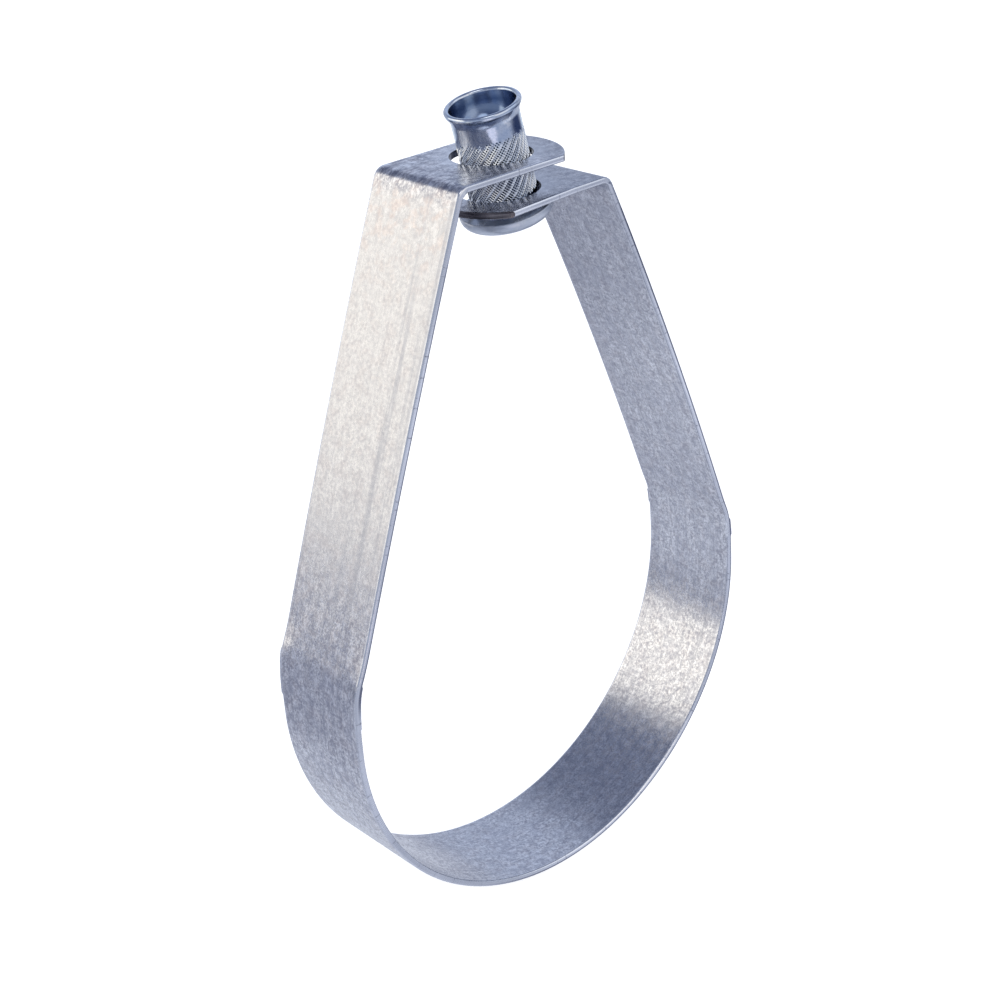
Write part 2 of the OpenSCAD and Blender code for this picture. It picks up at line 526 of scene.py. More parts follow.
def on_crest(co):
    return co.z < KNURL_TOP and abs(math.hypot(co.x, co.y) - NECK_R - KNURL_CREST) < 0.3 * KNURL_CREST


def knurl(nut):
    """Crosses the body with fine grooves and lifts the diamonds between them."""
    pick(nut, lambda co: on_body(co) and sum(knurl_spot(co)) % 2 == 0)
    bpy.ops.mesh.vert_connect()
    depths = {}
    for row in range(0, round((KNURL_TOP - KNURL_FOOT) / KNURL_ROW)):
        for column in range(KNURL_COLUMNS):
            depths[(row, column)] = knurl_depth(row, column)
    for level in KNURL_LEVELS:
        for parity, lift in ((0, KNURL_CREST), (1, -KNURL_VALLEY)):
            def wanted(co):
                spot = knurl_spot(co)
                return on_body(co) and sum(spot) % 2 == parity and abs(depths.get(spot, 0) - level) < 0.01
            pick(nut, wanted)
            bpy.ops.transform.shrink_fatten(value=lift * level)
    pick(nut, on_crest)
    bpy.ops.mesh.bevel(offset=CREST_FLAT, segments=1, affect="VERTICES")


def knurl_depth(row, column):
    """How deep the knurl is at a point, as a share: none where the flare has pressed it flat."""
    height = KNURL_FOOT + row * KNURL_ROW
    angle = 2 * math.pi * column / KNURL_COLUMNS
    wander = PRESSED_WANDER * math.cos(angle + PRESSED_TURN)
    edge = PRESSED_FROM + wander + WORN.uniform(-PRESSED_RAGGED, PRESSED_RAGGED) * MM
    depth = (edge - height) / PRESSED_RUN
    if (row + column) % 2 and (row - column) // 2 % BOLD_LINE == 0:
        depth = min(depth, BOLD_DEPTH)
    levels = len(KNURL_LEVELS)
    return min(max(round(depth * levels) / levels, 0), 1)


def thread_tool():
    """A ridge wound round the bore, which cuts the thread."""
    half = THREAD_PITCH * 0.44
    crest = THREAD_PITCH * 0.07
    root = BORE_R - 0.15 * MM
    tip = BORE_R + THREAD_DEPTH
    bpy.ops.mesh.primitive_plane_add(size=2, location=(0, 0, 0))
    ridge = bpy.context.object
    corners = ((root, -half), (tip, -crest), (root, half), (tip, crest))
    for point, (radius, height) in zip(ridge.data.vertices, corners):
        point.co = (radius, 0, height + FOOT_END - THREAD_PITCH)
    edit(ridge, "FACE")
    bpy.ops.mesh.select_all(action="SELECT")
    bpy.ops.mesh.delete(type="ONLY_FACE")
    close()
    shape_with(ridge, "SCREW", axis="Z", angle=2 * math.pi, screw_offset=THREAD_PITCH,
               iterations=THREAD_TURNS, steps=THREAD_STEPS, render_steps=THREAD_STEPS,
               use_merge_vertices=False)
    edit(ridge, "EDGE")
    bpy.ops.mesh.select_non_manifold()
    bpy.ops.mesh.edge_face_add()
    face_outwards()
    close()
    return ridge


def turn_nut():
    """Draws the nut up ring by ring, knurls and taps it, and stands it on its leaning axis."""
    rings = outside_rings() + inside_rings()
    radius, height = rings[0]
    bpy.ops.object.select_all(action="DESELECT")
    bpy.ops.mesh.primitive_circle_add(vertices=KNURL_COLUMNS, radius=radius, location=(0, 0, height))
    nut = named(bpy.context.object, "knurled_nut")
    bpy.ops.object.transform_apply(location=True, rotation=True, scale=True)
    edit(nut, "EDGE")
    bpy.ops.mesh.select_all(action="SELECT")
    for wider, higher in rings[1:]:
        push((0, 0, higher - height))
        grow = wider / radius
        bpy.ops.transform.resize(value=(grow, grow, 1), center_override=(0, 0, higher))
        radius, height = wider, higher
    bpy.ops.mesh.select_all(action="DESELECT")
    bpy.ops.mesh.select_non_manifold()
    bpy.ops.mesh.bridge_edge_loops()
    face_outwards()
    bpy.ops.mesh.select_mode(type="VERT")
    knurl(nut)
    close()
    cut_with(nut, thread_tool())
    nut.location = (NUT_X, 0, LOWER_Z)
    nut.rotation_euler = (0, -NUT_LEAN, 0)
    take(nut)
    bpy.ops.object.transform_apply(location=True, rotation=True, scale=True)
    bpy.ops.object.shade_smooth_by_angle(angle=math.radians(26))
    return nut


nut = turn_nut()


# Finishes: small hands for a node tree, where each term is a number or a socket

def node_in(tree, kind, **settings):
    node = tree.nodes.new(kind)
    for name, value in settings.items():
        setattr(node, name, value)
    return node


def feed(tree, term, socket):
    if isinstance(term, (int, float, tuple)):
        socket.default_value = term
    else:
        tree.links.new(term, socket)


def math_in(tree, operation, first, second=None):
    node = node_in(tree, "ShaderNodeMath", operation=operation)
    feed(tree, first, node.inputs[0])
    if second is not None:
        feed(tree, second, node.inputs[1])
    return node.outputs[0]


def times(tree, first, second):
    return math_in(tree, "MULTIPLY", first, second)


def plus(tree, first, second):
    return math_in(tree, "ADD", first, second)


def most(tree, first, second):
    return math_in(tree, "MAXIMUM", first, second)


def without(tree, mask):
    return math_in(tree, "SUBTRACT", 1, mask)


def remap(tree, value, low, high, to_low=0.0, to_high=1.0):
    """Takes a value from one range to another, softly at both ends."""
    node = node_in(tree, "ShaderNodeMapRange", interpolation_type="SMOOTHSTEP")
    feed(tree, value, node.inputs["Value"])
    node.inputs["From Min"].default_value = low
    node.inputs["From Max"].default_value = high
    node.inputs["To Min"].default_value = to_low
    node.inputs["To Max"].default_value = to_high
    return node.outputs[0]


def fall(tree, value, low, high):
    """A mask that falls from 1 to 0 as a value goes from low to high."""
    return remap(tree, value, low, high, 1.0, 0.0)


def blend_colours(tree, share, below, above):
    """Lays one colour over another, by its share."""
    node = node_in(tree, "ShaderNodeMix", data_type="RGBA", blend_type="MIX")
    feed(tree, share, node.inputs[0])
    feed(tree, below, node.inputs[6])
    feed(tree, above, node.inputs[7])
    return node.outputs[2]


def parts_of(tree, place):
    parts = node_in(tree, "ShaderNodeSeparateXYZ")
    feed(tree, place, parts.inputs[0])
    return parts.outputs


def joined(tree, first, second):
    """A place on a flat map, made of two measures."""
    node = node_in(tree, "ShaderNodeCombineXYZ")
    feed(tree, first, node.inputs[0])
    feed(tree, second, node.inputs[1])
    return node.outputs[0]


def length_of(tree, vector):
    node = node_in(tree, "ShaderNodeVectorMath", operation="LENGTH")
    feed(tree, vector, node.inputs[0])
    return node.outputs["Value"]


# Finishes: effects that are used again and again

def effect(name, inputs, outputs):
    """An empty shader group with named sockets, and its two ends."""
    group = bpy.data.node_groups.new(name, "ShaderNodeTree")
    for label, kind in inputs:
        group.interface.new_socket(name=label, in_out="INPUT", socket_type=kind)
    for label, kind in outputs:
        group.interface.new_socket(name=label, in_out="OUTPUT", socket_type=kind)
    return group, node_in(group, "NodeGroupInput").outputs, node_in(group, "NodeGroupOutput").inputs


def use(tree, group, place, **values):
    """Places an effect in a material with its own values."""
    node = node_in(tree, "ShaderNodeGroup", node_tree=group)
    for label, value in values.items():
        node.inputs[label].default_value = value
    feed(tree, place, node.inputs["Place"])
    return node.outputs


def make_grain():
    """Fine grain of a zinc coat: a value round a half."""
    group, source, sink = effect(
        "zinc grain",
        [("Place", "NodeSocketVector"), ("Size", "NodeSocketFloat"), ("Roughening", "NodeSocketFloat")],
        [("Grain", "NodeSocketFloat")])
    noise = node_in(group, "ShaderNodeTexNoise")
    noise.inputs["Detail"].default_value = 4
    feed(group, source["Place"], noise.inputs["Vector"])
    feed(group, math_in(group, "DIVIDE", 1.0, source["Size"]), noise.inputs["Scale"])
    feed(group, source["Roughening"], noise.inputs["Roughness"])
    feed(group, noise.outputs["Fac"], sink["Grain"])
    return group


def make_draw_lines():
    """Fine lines that run one way, from drawing or turning: a value round a half."""
    group, source, sink = effect(
        "draw lines",
        [("Place", "NodeSocketVector"), ("Along", "NodeSocketFloat"), ("Across", "NodeSocketFloat")],
        [("Lines", "NodeSocketFloat")])
    parts = parts_of(group, source["Place"])
    long_way = math_in(group, "DIVIDE", parts[0], source["Along"])
    short_way = math_in(group, "DIVIDE", parts[1], source["Across"])
    noise = node_in(group, "ShaderNodeTexNoise", noise_dimensions="2D")
    noise.inputs["Scale"].default_value = 1
    noise.inputs["Detail"].default_value = 3
    noise.inputs["Roughness"].default_value = 0.65
    feed(group, joined(group, long_way, short_way), noise.inputs["Vector"])
    feed(group, noise.outputs["Fac"], sink["Lines"])
    return group


def make_rim():
    """Masks at a circle round an upright axis: the rim, which fades over a width, and the wall inside it."""
    group, source, sink = effect(
        "rim mask",
        [("Place", "NodeSocketVector"), ("Centre", "NodeSocketVector"), ("Radius", "NodeSocketFloat"),
         ("Width", "NodeSocketFloat")],
        [("Mask", "NodeSocketFloat"), ("Wall", "NodeSocketFloat")])
    offset = node_in(group, "ShaderNodeVectorMath", operation="SUBTRACT")
    feed(group, source["Place"], offset.inputs[0])
    feed(group, source["Centre"], offset.inputs[1])
    flat = node_in(group, "ShaderNodeVectorMath", operation="MULTIPLY")
    feed(group, offset.outputs[0], flat.inputs[0])
    flat.inputs[1].default_value = (1, 1, 0)
    beyond = math_in(group, "SUBTRACT", length_of(group, flat.outputs[0]), source["Radius"])
    share = math_in(group, "DIVIDE", math_in(group, "ABSOLUTE", beyond), source["Width"])
    height = math_in(group, "ABSOLUTE", parts_of(group, offset.outputs[0])[2])
    level = math_in(group, "LESS_THAN", height, RIM_DEPTH)
    feed(group, times(group, fall(group, share, 0.0, 1.0), level), sink["Mask"])
    feed(group, times(group, fall(group, beyond, 0.04 * MM, 0.16 * MM), level), sink["Wall"])
    return group


# How far above and below an ear's middle its rims reach
RIM_DEPTH = 2.2 * MM
GRAIN = make_grain()
DRAW_LINES = make_draw_lines()
RIM = make_rim()


def grain_over(tree, place, size, roughening):
    return use(tree, GRAIN, place, Size=size, Roughening=roughening)["Grain"]


def lines_over(tree, place, along, across):
    return use(tree, DRAW_LINES, place, Along=along, Across=across)["Lines"]


def new_metal(name):
    material = bpy.data.materials.new(name)
    material.use_nodes = True
    shader = material.node_tree.nodes["Principled BSDF"]
    shader.inputs["Metallic"].default_value = 1
    return material, material.node_tree, shader.inputs


def raise_surface(tree, shader, height):
    bump = node_in(tree, "ShaderNodeBump")
    bump.inputs["Strength"].default_value = 0.6
    bump.inputs["Distance"].default_value = 1
    feed(tree, height, bump.inputs["Height"])
    feed(tree, bump.outputs["Normal"], shader["Normal"])


# Mill-galvanised strip: tones of the coat, then of worn, rolled and cut places, and of painted shade

ZINC_DARK = (0.38, 0.385, 0.43, 1)
ZINC_PALE = (0.62, 0.625, 0.67, 1)
SPECK_DARK = (0.26, 0.27, 0.34, 1)
SPECK_BRIGHT = (0.74, 0.75, 0.80, 1)
CLOUD = (0.38, 0.39, 0.46, 1)
DAPPLE_DARK = (0.21, 0.22, 0.29, 1)
DAPPLE_PALE = (0.76, 0.77, 0.83, 1)
PRESSED = (0.53, 0.53, 0.555, 1)
WARM = (0.60, 0.51, 0.49, 1)
STREAK_DARK = (0.36, 0.37, 0.42, 1)
FURROW_DARK = (0.27, 0.28, 0.34, 1)
LINE_PALE = (0.70, 0.70, 0.73, 1)
WORN_EDGE = (0.74, 0.77, 0.85, 1)
RUBBED = (0.60, 0.63, 0.70, 1)
LIT_INSIDE = (1, 1, 1, 1)
# Painted shade on the ears beyond the nut and on the right leg
PAINTED_SHADE = (0.20, 0.22, 0.28, 1)
ROLLED_DARK = (0.62, 0.64, 0.70, 1)
ROLLED_BRIGHT = (0.84, 0.86, 0.92, 1)
PIT_DARK = (0.22, 0.23, 0.29, 1)
# Painted shade on parts of the slit edges
SLIT_SHADE_DARK = (0.14, 0.15, 0.22, 1)
# The ears' cut ends: bare metal, darkened with painted shade
PUNCHED_SHADE_DARK = (0.055, 0.05, 0.06, 1)
PUNCHED_PALE = (0.24, 0.22, 0.23, 1)
# Painted shade on the walls of the ears' holes
HOLE_WALL_SHADE = (0.09, 0.095, 0.12, 1)

# Widths of the worn rim at a hole or an end, and of the ring that the nut has rubbed; depth of an ear's end
RIM_W = 0.5 * MM
RUBBED_W = 6 * MM
END_DEPTH = 7 * MM


def strap_places(tree):
    """A point's place along and across the strip, outside the sheet's middle, and in the frame."""
    strip = node_in(tree, "ShaderNodeUVMap", uv_map="strip").outputs[0]
    sheet = node_in(tree, "ShaderNodeUVMap", uv_map="sheet").outputs[0]
    place = node_in(tree, "ShaderNodeTexCoord").outputs["Object"]
    along, across, _ = parts_of(tree, strip)
    x, y, z = parts_of(tree, place)
    return {"strip": strip, "place": place, "along": along, "across": across,
            "outside": parts_of(tree, sheet)[0], "x": x, "y": y, "z": z}


def strap_grains(tree, strip):
    """The coat's grain at each of its sizes, and the lines and streaks that rolling left along the strip."""
    return {
        "fine": grain_over(tree, strip, 0.5 * MM, 0.5),
        "speck": grain_over(tree, strip, 0.9 * MM, 0.6),
        "dapple": grain_over(tree, strip, 2.0 * MM, 0.6),
        "blotch": grain_over(tree, strip, 3.2 * MM, 0.6),
        "broad": grain_over(tree, strip, 9 * MM, 0.6),
        "lines": lines_over(tree, strip, 60 * MM, 0.5 * MM),
        "streaks": lines_over(tree, strip, 110 * MM, 2.4 * MM),
    }


def calm_leg(tree, at):
    """Where the strip was pressed smooth: the left leg's outer face, fading out towards the crease."""
    leg_from = left_side[-1][2] + left_side[-2][2]
    leg_to = leg_from + left_side[-3][2]
    on_leg = times(tree, remap(tree, at["along"], leg_from - 2 * MM, leg_from + 4 * MM),
                   fall(tree, at["along"], leg_to - 25 * MM, leg_to + 2 * MM))
    return times(tree, on_leg, remap(tree, at["outside"], 0, 0.4 * STRAP_T))


def zinc_coat(tree, at, grain):
    """The coat itself: specks, blotches and broad clouds of dark and pale zinc, most dappled on the ears."""
    light = blend_colours(tree, remap(tree, grain["fine"], 0.38, 0.62), ZINC_DARK, ZINC_PALE)
    strength = remap(tree, grain["blotch"], 0.42, 0.60, 0.4, 1.0)
    dark_specks = times(tree, remap(tree, grain["speck"], 0.49, 0.39), strength)
    specked = blend_colours(tree, dark_specks, light, SPECK_DARK)
    bright_specks = times(tree, remap(tree, grain["speck"], 0.54, 0.66), strength)
    glinting = blend_colours(tree, bright_specks, specked, SPECK_BRIGHT)
    clouds = remap(tree, grain["broad"], 0.42, 0.60, 0.0, 0.42)
    clouded = blend_colours(tree, clouds, glinting, CLOUD)
    dappling = remap(tree, at["z"], 98 * MM, 106 * MM, 0.45, 1.0)
    dark_dapple = times(tree, remap(tree, grain["dapple"], 0.50, 0.38), dappling)
    darkened = blend_colours(tree, dark_dapple, clouded, DAPPLE_DARK)
    pale_dapple = times(tree, remap(tree, grain["dapple"], 0.52, 0.64), dappling)
    return blend_colours(tree, pale_dapple, darkened, DAPPLE_PALE)


def drawn_coat(tree, at, grain, calm, coat):
    """The coat as drawing and pressing left it: smooth and warm on the left leg, streaked and furrowed."""
    settled = blend_colours(tree, times(tree, calm, 0.78), coat, PRESSED)
    by_bend = times(tree, calm, remap(tree, at["z"], 90 * MM, 112 * MM, 0.0, 0.36))
    warmth = times(tree, remap(tree, grain["blotch"], 0.46, 0.62), plus(tree, by_bend, 0.12))
    warmed = blend_colours(tree, warmth, settled, WARM)
    near_half = remap(tree, at["across"], 2 * MM, -7 * MM, -0.22, 0.35)
    streaking = plus(tree, times(tree, calm, near_half), 0.32)
    streaks = times(tree, streaking, remap(tree, grain["streaks"], 0.48, 0.66))
    streaked = blend_colours(tree, streaks, warmed, STREAK_DARK)
    furrows = times(tree, remap(tree, grain["lines"], 0.44, 0.32, 0.0, 0.45), without(tree, calm))
    furrowed = blend_colours(tree, furrows, streaked, FURROW_DARK)
    pale_lines = remap(tree, grain["lines"], 0.50, 0.68, 0.0, 0.16)
    return blend_colours(tree, pale_lines, furrowed, LINE_PALE)


def edge_marks(tree, at):
    """Masks: slit edges, worn rims, and at both ears the hole's wall, the rubbed ring and the cut end."""
    side = math_in(tree, "ABSOLUTE", at["across"])
    slit = remap(tree, side, STRAP_W / 2 - 0.6 * ROLLED, STRAP_W / 2 - 0.1 * ROLLED)
    edge = remap(tree, side, STRAP_W / 2 - 1.6 * ROLLED, STRAP_W / 2 - 0.6 * ROLLED)
    wall = 0.0
    sheared = 0.0
    rubbed = 0.0
    ears = ((upper_hole_x, UPPER_Z, upper_tip, 1), (lower_hole_x, LOWER_Z, lower_tip, -1))
    for ear_x, height, tip_x, heading in ears:
        middle = (ear_x, 0, height)
        arc_middle = (tip_x - heading * EAR_END_R, 0, height)
        hole = use(tree, RIM, at["place"], Centre=middle, Radius=EAR_HOLE_R, Width=RIM_W)
        edge = most(tree, edge, hole["Mask"])
        wall = most(tree, wall, hole["Wall"])
        ring = use(tree, RIM, at["place"], Centre=middle, Radius=EAR_HOLE_R, Width=RUBBED_W)
        rubbed = most(tree, rubbed, ring["Mask"])
        end = use(tree, RIM, at["place"], Centre=arc_middle, Radius=EAR_END_R, Width=RIM_W)
        short = times(tree, math_in(tree, "SUBTRACT", tip_x, at["x"]), heading)
        at_end = math_in(tree, "LESS_THAN", short, END_DEPTH)
        sheared = most(tree, sheared, times(tree, at_end, remap(tree, end["Mask"], 0.93, 0.99)))
        edge = most(tree, edge, times(tree, at_end, end["Mask"]))
    return {"slit": slit, "edge": edge, "wall": wall, "sheared": sheared, "rubbed": rubbed}


def slit_face(tree, at, grain):
    """The slit edges: rolled bright, with dark pits where the zinc broke, and darkened with painted shade in
    places.
    """
    rolled = blend_colours(tree, remap(tree, grain["lines"], 0.35, 0.65), ROLLED_DARK, ROLLED_BRIGHT)
    pits = remap(tree, grain["speck"], 0.42, 0.34, 0.0, 0.8)
    pitted = blend_colours(tree, pits, rolled, PIT_DARK)
    # Painted shade darkens parts of the slit edges
    return blend_colours(tree, shaded_slit_part(tree, at), pitted, SLIT_SHADE_DARK)


def shaded_slit_part(tree, at):
    """Painted shade on the slit edges: the left leg's inner half, the rest's outer half, and the far edge."""
    on_leg = times(tree, remap(tree, at["x"], 2 * MM, -2 * MM), remap(tree, at["z"], 8 * MM, 14 * MM))
    inner_half = times(tree, on_leg, remap(tree, at["outside"], 0.05 * STRAP_T, -0.2 * STRAP_T))
    elsewhere = times(tree, remap(tree, at["x"], -35 * MM, -8 * MM), without(tree, on_leg))
    outer_half = times(tree, elsewhere, remap(tree, at["outside"], -0.08 * STRAP_T, 0.12 * STRAP_T))
    below_ears = remap(tree, at["z"], 103 * MM, 98 * MM)
    shaded_half = times(tree, below_ears, most(tree, inner_half, outer_half))
    far = math_in(tree, "GREATER_THAN", at["across"], 0)
    return times(tree, most(tree, shaded_half, far), 0.88)


def painted_shade_part(tree, at):
    """Painted shade: darker on the ears beyond the nut, and a little on the right leg's top."""
    right_half = remap(tree, at["x"], 0, 9 * MM)
    ears = remap(tree, at["z"], 103 * MM, 105 * MM, 0.0, 0.50)
    leg_top = remap(tree, at["z"], 55 * MM, 75 * MM, 0.0, 0.16)
    return times(tree, right_half, most(tree, ears, leg_top))


def punched_face(tree, at):
    """The ears' cut ends: bare metal in layers that run round the end, darkened with painted shade."""
    layers = lines_over(tree, joined(tree, at["y"], at["outside"]), 7 * MM, 0.16 * MM)
    return blend_colours(tree, remap(tree, layers, 0.40, 0.62), PUNCHED_SHADE_DARK, PUNCHED_PALE)


def galvanised_steel():
    """The strap's metal, layer by layer from the coat to the cut faces."""
    material, tree, shader = new_metal("mill_galvanised_strip")
    at = strap_places(tree)
    grain = strap_grains(tree, at["strip"])
    calm = calm_leg(tree, at)
    mark = edge_marks(tree, at)
    coat = drawn_coat(tree, at, grain, calm, zinc_coat(tree, at, grain))
    worn = blend_colours(tree, times(tree, mark["edge"], 0.45), coat, WORN_EDGE)
    polished = blend_colours(tree, times(tree, mark["rubbed"], 0.5), worn, RUBBED)
    inner = remap(tree, at["outside"], -0.5 * STRAP_T, -0.4 * STRAP_T, 0.10, 0.0)
    faced = blend_colours(tree, inner, polished, LIT_INSIDE)
    # Painted shade darkens the ears beyond the nut and a little of the right leg
    shade_darkened = blend_colours(tree, painted_shade_part(tree, at), faced, PAINTED_SHADE)
    slit = blend_colours(tree, mark["slit"], shade_darkened, slit_face(tree, at, grain))
    # The ears' cut ends, in layers, darkened with painted shade
    ended = blend_colours(tree, mark["sheared"], slit, punched_face(tree, at))
    # Painted shade darkens the walls of the ears' holes
    hole_shaded = blend_colours(tree, mark["wall"], ended, HOLE_WALL_SHADE)
    feed(tree, hole_shaded, shader["Base Color"])

    satin = plus(tree, remap(tree, grain["speck"], 0.35, 0.65, 0.31, 0.19),
                 remap(tree, grain["blotch"], 0.35, 0.65, -0.03, 0.05))
    feed(tree, math_in(tree, "SUBTRACT", satin, times(tree, mark["rubbed"], 0.09)), shader["Roughness"])
    relief = plus(tree, times(tree, grain["fine"], 0.014 * MM), times(tree, grain["lines"], 0.006 * MM))
    waves = times(tree, grain["blotch"], 0.030 * MM)
    raise_surface(tree, shader, plus(tree, relief, waves))
    return material


# Bright zinc plate: its tones, with a painted highlight on the knurl's crests and painted shade inside the
# mouth

PLATE_BLUE = (0.46, 0.53, 0.66, 1)
PLATE_PALE = (0.66, 0.69, 0.75, 1)
PLATE_SPECK = (0.34, 0.42, 0.56, 1)
# Painted highlight on the knurl's crests
CREST_HIGHLIGHT = (0.93, 0.95, 0.97, 1)
# Nearly black, in the knurl's valleys
VALLEY_DARK = (0.025, 0.03, 0.045, 1)
FLANGE_PALE = (0.70, 0.74, 0.82, 1)
# Painted shade inside the mouth, the bell and the bore
BELL_SHADE_NAVY = (0.13, 0.19, 0.32, 1)


def nut_inside(tree, radius, height):
    """The mouth's inner wall, the bell and the bore."""
    within = remap(tree, radius, MOUTH_R - 0.95 * RIM_T, MOUTH_R - 1.15 * RIM_T)
    above = remap(tree, height, MOUTH_TOP - BELL_H - MM, MOUTH_TOP - BELL_H)
    outer = remap(tree, radius, NECK_R - 2 * KNURL_VALLEY, NECK_R - 1.6 * KNURL_VALLEY)
    return times(tree, within, most(tree, above, without(tree, outer)))


def zinc_plate():
    """The nut's metal: bright plate, with a painted highlight on the knurl's crests, nearly black between
    them, satin on the flange.
    """
    material, tree, shader = new_metal("bright_zinc_plate")
    stood = node_in(tree, "ShaderNodeMapping", vector_type="TEXTURE")
    stood.inputs["Location"].default_value = (NUT_X, 0, LOWER_Z)
    stood.inputs["Rotation"].default_value = (0, -NUT_LEAN, 0)
    feed(tree, node_in(tree, "ShaderNodeTexCoord").outputs["Object"], stood.inputs["Vector"])
    place = stood.outputs[0]
    x, y, height = parts_of(tree, place)
    radius = length_of(tree, joined(tree, x, y))
    fine = grain_over(tree, place, 0.5 * MM, 0.6)
    broad = grain_over(tree, place, 4 * MM, 0.6)
    lines = lines_over(tree, joined(tree, math_in(tree, "ARCTAN2", y, x), height), 1.5, 0.22 * MM)

    valley = fall(tree, radius, NECK_R - 0.6 * KNURL_VALLEY, NECK_R - 0.12 * KNURL_VALLEY)
    crest = remap(tree, radius, NECK_R - 0.2 * KNURL_VALLEY, NECK_R)
    knurled = times(tree, fall(tree, height, 12.2 * MM, 14.0 * MM),
                    math_in(tree, "GREATER_THAN", height, KNURL_FOOT))
    outside = math_in(tree, "GREATER_THAN", radius, NECK_R - 1.5 * KNURL_VALLEY)
    low = math_in(tree, "LESS_THAN", height, KNURL_TOP)
    satin = fall(tree, height, FLANGE_TOP - 0.3 * MM, FLANGE_TOP + 0.3 * MM)
    valley_darkening = times(tree, times(tree, valley, outside), times(tree, low, 0.95))

    plated = blend_colours(tree, remap(tree, broad, 0.38, 0.62), PLATE_BLUE, PLATE_PALE)
    speckled = blend_colours(tree, remap(tree, fine, 0.42, 0.62, 0, 0.55), plated, PLATE_SPECK)
    # Painted highlight whitens the knurl's crests
    crest_highlighted = blend_colours(tree, times(tree, times(tree, crest, knurled), 0.8), speckled, CREST_HIGHLIGHT)
    # The knurl's valleys are darkened nearly to black
    valleys_darkened = blend_colours(tree, valley_darkening, crest_highlighted, VALLEY_DARK)
    pale = blend_colours(tree, times(tree, satin, 0.6), valleys_darkened, FLANGE_PALE)
    # Painted shade darkens the mouth's inner wall, the bell and the bore to navy
    inside = times(tree, nut_inside(tree, radius, height), 0.85)
    feed(tree, blend_colours(tree, inside, pale, BELL_SHADE_NAVY), shader["Base Color"])

    gloss = plus(tree, remap(tree, broad, 0.3, 0.7, 0.07, 0.15), remap(tree, lines, 0.35, 0.65, 0.0, 0.05))
    softer = plus(tree, times(tree, satin, 0.20), times(tree, knurled, 0.12))
    feed(tree, plus(tree, gloss, softer), shader["Roughness"])
    chalk = remap(tree, height, FLANGE_TOP - 0.5 * MM, FLANGE_TOP - 0.1 * MM, 0.35, 0.8)
    feed(tree, without(tree, times(tree, satin, chalk)), shader["Metallic"])
    relief = plus(tree, times(tree, fine, 0.016 * MM), times(tree, lines, 0.007 * MM))
    raise_surface(tree, shader, relief)
    return material


strap.data.materials.clear()
strap.data.materials.append(galvanised_steel())
nut.data.materials.clear()
nut.data.materials.append(zinc_plate())


# Studio: camera, floor, light

# The camera: its azimuth from the front, height and roll in degrees, and its place seen along its own axes
CAMERA_AZIMUTH = -40.70
CAMERA_HEIGHT = 26.392
CAMERA_ROLL = -4.157
CAMERA_AWAY = 0.42925
CAMERA_RIGHT = -0.005177
CAMERA_UP = 0.030399
FOCAL_LENGTH = 65.01
SENSOR_W = 36
# The floor, just below the ring, and its tone where the metal mirrors it
FLOOR_Z = -60.8 * MM
FLOOR_TONE = (0.58, 0.62, 0.74, 1)
# The studio's walls, low down and high up
LOW_WALL = (0.52, 0.57, 0.68, 1)
HIGH_WALL = (0.24, 0.28, 0.40, 1)
WHITE = (1, 1, 1, 1)


def look():
    """Stands the camera where the photograph was taken."""
    azimuth = math.radians(CAMERA_AZIMUTH)
    height = math.radians(CAMERA_HEIGHT)
    roll = math.radians(CAMERA_ROLL)
    level = math.cos(height)
    back = Vector((math.sin(azimuth) * level, -math.cos(azimuth) * level, math.sin(height)))
    right = Vector((math.cos(azimuth), math.sin(azimuth), 0))
    up = back.cross(right)
    right_rolled = right * math.cos(roll) + up * math.sin(roll)
    up_rolled = up * math.cos(roll) - right * math.sin(roll)
    lens = bpy.data.cameras.new("camera")
    lens.sensor_width = SENSOR_W
    lens.lens = FOCAL_LENGTH
    lens.clip_start = 0.01
    lens.clip_end = 20
    camera = bpy.data.objects.new("camera", lens)
    bpy.context.scene.collection.objects.link(camera)
    place = back * CAMERA_AWAY + right_rolled * CAMERA_RIGHT + up_rolled * CAMERA_UP
    turn = Matrix((right_rolled, up_rolled, back)).transposed()
    camera.matrix_world = Matrix.Translation(place) @ turn.to_4x4()
    bpy.context.scene.camera = camera


def in_direction(azimuth, height):
    """A direction from its azimuth, turned from the back towards the right, and its height, in degrees."""
    turn = math.radians(azimuth)
    lift = math.radians(height)
    return (math.sin(turn) * math.cos(lift), math.cos(turn) * math.cos(lift), math.sin(lift))


def straight_rays(tree, rays):
    """1 for what the camera sees, straight or through glass."""
    return most(tree, rays["Is Camera Ray"], rays["Is Transmission Ray"])


def floor_spot(tree, place, below, x, y, reach, colour):
    """Lays a soft round patch of another tone over what the metal sees of the floor."""
    gap = node_in(tree, "ShaderNodeVectorMath", operation="DISTANCE")
    feed(tree, place, gap.inputs[0])
    gap.inputs[1].default_value = (x, y, FLOOR_Z)
    share = fall(tree, gap.outputs["Value"], 0.6 * reach, 1.4 * reach)
    return blend_colours(tree, share, below, colour)


